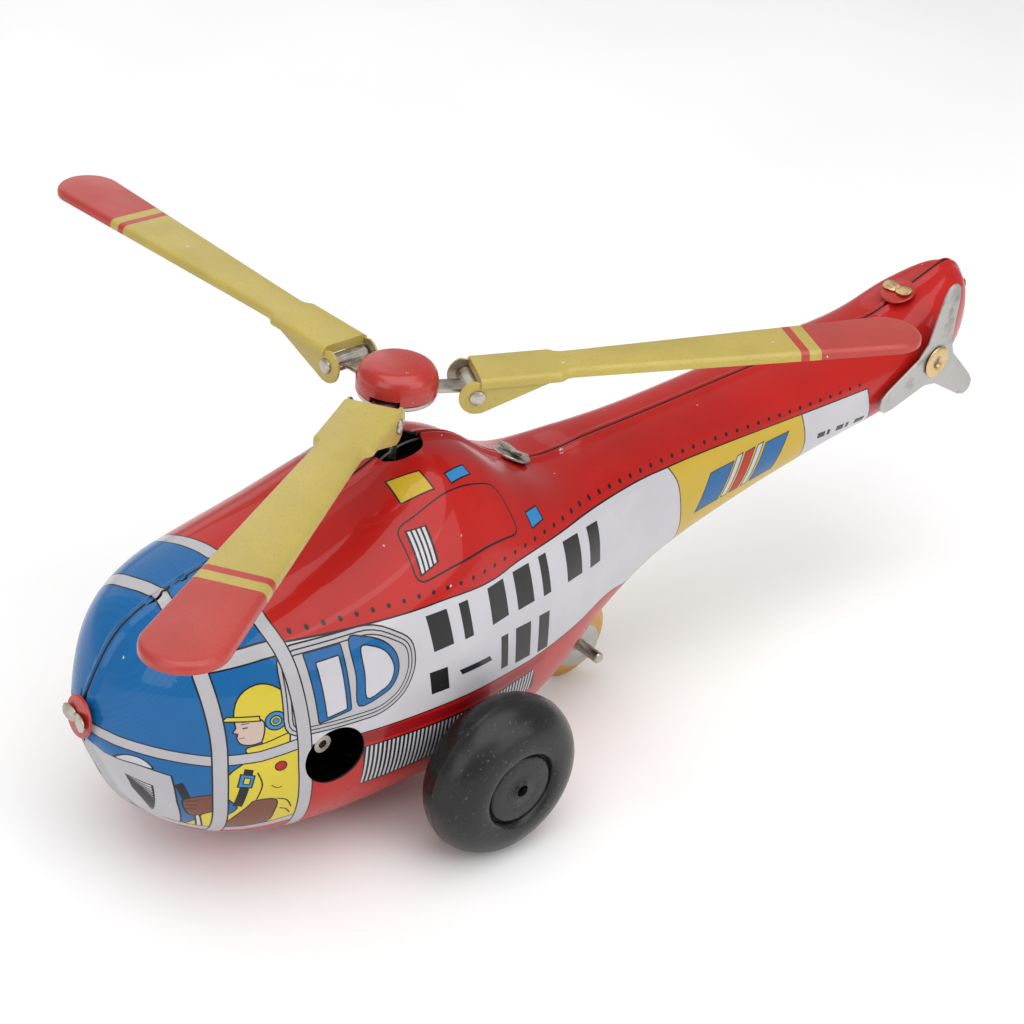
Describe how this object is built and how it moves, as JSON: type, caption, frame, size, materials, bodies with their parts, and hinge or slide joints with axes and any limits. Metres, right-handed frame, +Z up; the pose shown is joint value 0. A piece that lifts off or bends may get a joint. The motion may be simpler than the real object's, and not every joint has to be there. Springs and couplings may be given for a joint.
{
  "type": "toy helicopter",
  "caption": "Wind-up tinplate toy helicopter with a three-blade folding main rotor, a free tail rotor, two rubber wheels and a pressed rear wheel.",
  "frame": {"origin": "on the ground, straight below the rotor shaft's axis", "axes": "+X towards the nose, +Y towards the port side, +Z up along the rotor shaft"},
  "size_m": [0.2417, 0.1558, 0.0883],
  "materials": {
    "shell_print": "glossy printed tinplate under clear varnish",
    "red_lacquer": "semi-gloss enamel",
    "yellow_lacquer": "satin lacquered tinplate",
    "tyre": "smooth moulded, slightly glossy",
    "gold_lacquer": "gold-lacquered tinplate",
    "brass": "stamped, lightly tarnished",
    "plain_tin": "matt rolled tinplate",
    "spring_steel": "blued",
    "nickel": "nickelled steel, dulled"
  },
  "bodies": {
    "body": {"left_shell": "shell_print", "right_shell": "shell_print", "nose_washer": "red_lacquer", "nose_brad": "nickel", "neck_washer": "nickel", "neck_brad": "nickel", "tail_washer": "red_lacquer", "tail_brad": "brass", "motor_plate_left": "plain_tin", "motor_plate_right": "plain_tin", "motor_pillars": "nickel", "step_bracket": "nickel", "bearing_bridge": "nickel", "mainspring": "spring_steel", "rear_fork": "plain_tin", "rear_axle_pin": "nickel", "tail_eyelet": "brass"},
    "rotor": {"rotor_shaft": "nickel", "rotor_pinion": "nickel", "hub_ring": "nickel", "hub_cap": "red_lacquer", "rotor_arms": "nickel", "hinge_pins": "nickel"},
    "blade_one": {"blade_1": "yellow_lacquer"},
    "blade_two": {"blade_2": "yellow_lacquer"},
    "blade_three": {"blade_3": "yellow_lacquer"},
    "tail_blades": {"tail_rotor": "plain_tin"},
    "axle": {"main_axle": "nickel", "axle_pinion": "nickel", "wheel_left": "tyre", "wheel_right": "tyre"},
    "rear_roller": {"rear_wheel": "gold_lacquer"},
    "great": {"great_wheel": "brass", "click_rivet": "nickel"},
    "click_lever": {"click": "nickel"},
    "second": {"second_arbor": "nickel", "second_pinion": "nickel", "second_wheel": "brass"},
    "crown": {"crown_arbor": "nickel", "crown_pinion": "nickel", "crown_wheel": "brass"},
    "winder": {"winding_arbor": "nickel", "ratchet_wheel": "nickel"}
  },
  "joints": [
    {"name": "rotor_spin", "type": "hinge", "parent": "body", "child": "rotor", "pos_m": [0, 0, 0.08], "axis": [0, 0, 1], "continuous": true},
    {"name": "blade_one_flap", "type": "hinge", "parent": "rotor", "child": "blade_one", "pos_m": [0.01095, 0.00755, 0.08], "axis": [0.5678, -0.8231, 0], "range_deg": [0, 80]},
    {"name": "blade_two_flap", "type": "hinge", "parent": "rotor", "child": "blade_two", "pos_m": [-0.01201, 0.00571, 0.08], "axis": [0.4289, 0.9033, 0], "range_deg": [0, 80]},
    {"name": "blade_three_flap", "type": "hinge", "parent": "rotor", "child": "blade_three", "pos_m": [0.00107, -0.01326, 0.08], "axis": [-0.9968, -0.0802, 0], "range_deg": [0, 80]},
    {"name": "tail_spin", "type": "hinge", "parent": "body", "child": "tail_blades", "pos_m": [-0.1373, 0.0139, 0.0573], "axis": [0, 1, 0], "continuous": true},
    {"name": "axle_spin", "type": "hinge", "parent": "body", "child": "axle", "pos_m": [-0.0035, 0, 0.0158], "axis": [0, 1, 0], "continuous": true},
    {"name": "rear_spin", "type": "hinge", "parent": "body", "child": "rear_roller", "pos_m": [-0.05, 0, 0.0095], "axis": [0, 1, 0], "continuous": true},
    {"name": "great_spin", "type": "hinge", "parent": "body", "child": "great", "pos_m": [0.0285, 0.0045, 0.0285], "axis": [0, 1, 0], "continuous": true},
    {"name": "second_spin", "type": "hinge", "parent": "body", "child": "second", "pos_m": [0.00946, 0, 0.02431], "axis": [0, 1, 0], "continuous": true},
    {"name": "crown_spin", "type": "hinge", "parent": "body", "child": "crown", "pos_m": [0, 0, 0.03659], "axis": [0, 1, 0], "continuous": true},
    {"name": "winding", "type": "hinge", "parent": "body", "child": "winder", "pos_m": [0.0285, 0, 0.0285], "axis": [0, 1, 0], "range_deg": [0, 1800]},
    {"name": "click_lift", "type": "hinge", "parent": "great", "child": "click_lever", "pos_m": [0.02071, 0.0059, 0.033], "axis": [0, -1, 0], "range_deg": [0, 14], "stiffness_Nm_per_rad": 0.002, "springref_deg": -5.73}
  ],
  "couplings": [
    {"joint": "crown_spin", "follows": "rotor_spin", "ratio": -0.42857},
    {"joint": "second_spin", "follows": "rotor_spin", "ratio": 0.10286},
    {"joint": "axle_spin", "follows": "rotor_spin", "ratio": -0.42857},
    {"joint": "great_spin", "follows": "rotor_spin", "ratio": -0.018701}
  ]
}
